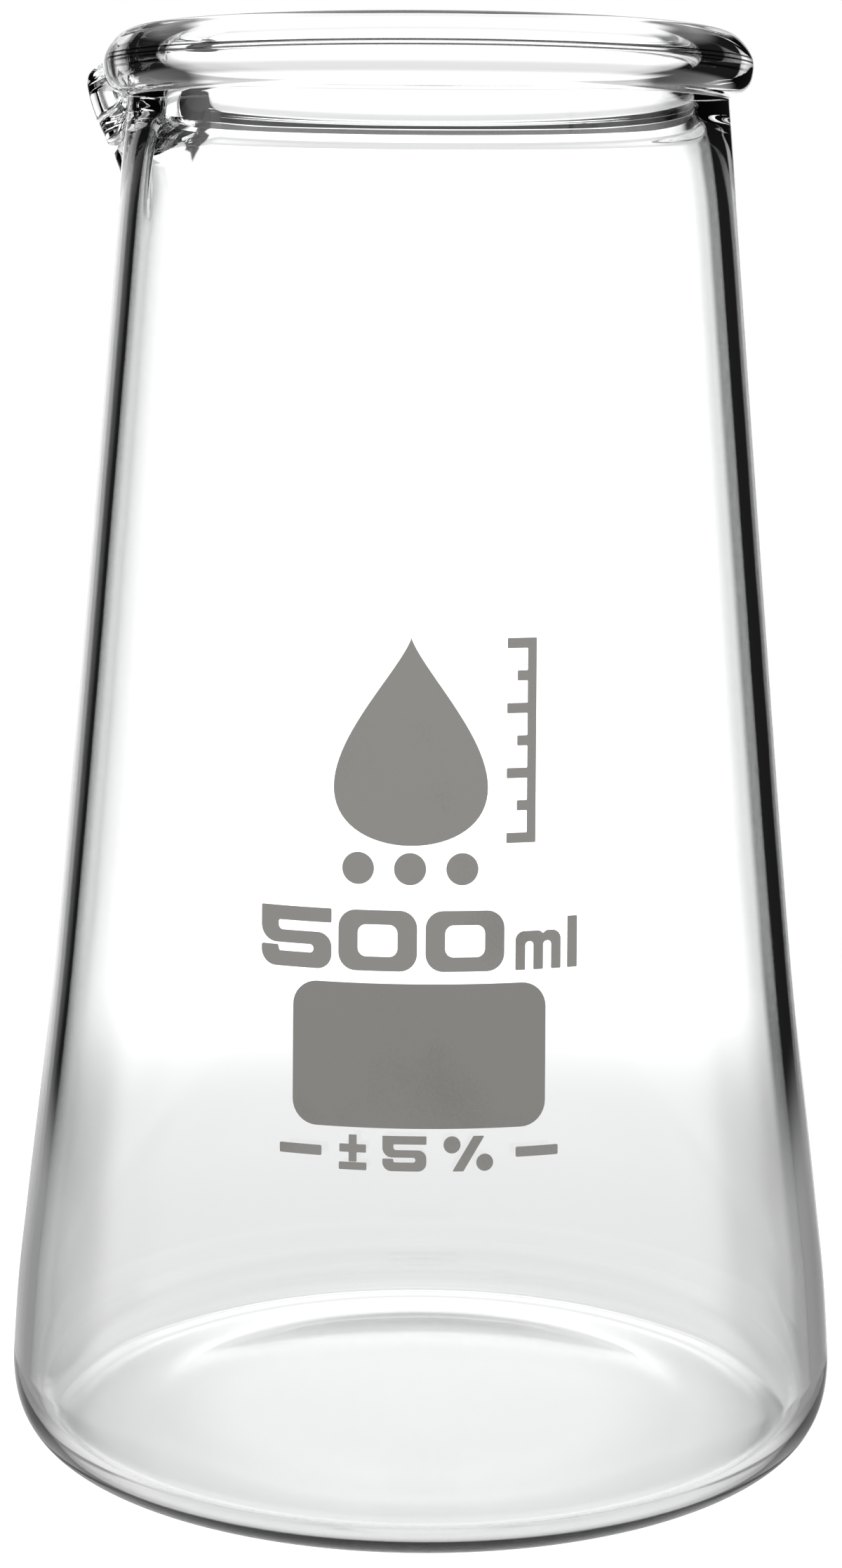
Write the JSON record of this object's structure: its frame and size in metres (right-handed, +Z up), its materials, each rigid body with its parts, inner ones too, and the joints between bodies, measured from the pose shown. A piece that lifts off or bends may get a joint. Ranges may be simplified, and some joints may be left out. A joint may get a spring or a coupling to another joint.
{
  "type": "conical beaker",
  "caption": "Conical laboratory beaker of clear glass, with a beaded rim, a pouring spout, a flat foot and fired white enamel marks.",
  "frame": {"origin": "centre of the foot, on the surface that the beaker stands on", "axes": "+Z up along the axis of the glass; the enamel marks face -Y; the spout points to -X and a little +Y"},
  "size_m": [0.0926, 0.0926, 0.155],
  "materials": {
    "glass": "clear, fire polished",
    "enamel": "matt fired enamel"
  },
  "bodies": {
    "root": {"glass_body": "glass", "emblem_drop": "enamel", "emblem_dot_left": "enamel", "emblem_dot_middle": "enamel", "emblem_dot_right": "enamel", "emblem_scale": "enamel", "numeral_5": "enamel", "numeral_0_left": "enamel", "numeral_0_right": "enamel", "letter_m": "enamel", "letter_l": "enamel", "marking_spot": "enamel", "dash_left": "enamel", "dash_right": "enamel", "tolerance_plus": "enamel", "tolerance_minus": "enamel", "tolerance_5": "enamel", "percent_bar": "enamel", "percent_dot_upper": "enamel", "percent_dot_lower": "enamel"}
  },
  "joints": []
}
